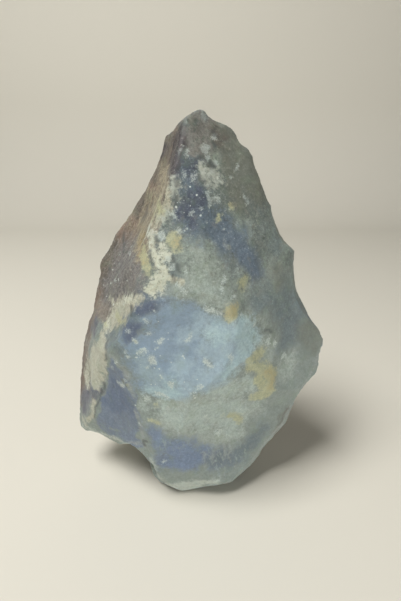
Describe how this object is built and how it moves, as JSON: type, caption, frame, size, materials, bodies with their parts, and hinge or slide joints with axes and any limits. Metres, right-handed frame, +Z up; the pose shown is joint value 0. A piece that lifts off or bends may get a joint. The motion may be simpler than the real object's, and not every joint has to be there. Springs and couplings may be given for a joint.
{
  "type": "raw chalcedony",
  "caption": "Rough broken chunk of blue chalcedony, tall and wedge-shaped, with a thin rim and shell-shaped scars, standing on a small flat spot",
  "frame": {"origin": "the middle of the small flat spot that the stone stands on", "axes": "+Z up, from the flat spot to the crown; -Y is the broad scarred front; +X is the thin right rim"},
  "size_m": [0.0676, 0.0412, 0.0955],
  "materials": {
    "blue_stone": "waxy, milky, with chalky and ochre stains"
  },
  "bodies": {
    "root": {"chalcedony": "blue_stone"}
  },
  "joints": []
}
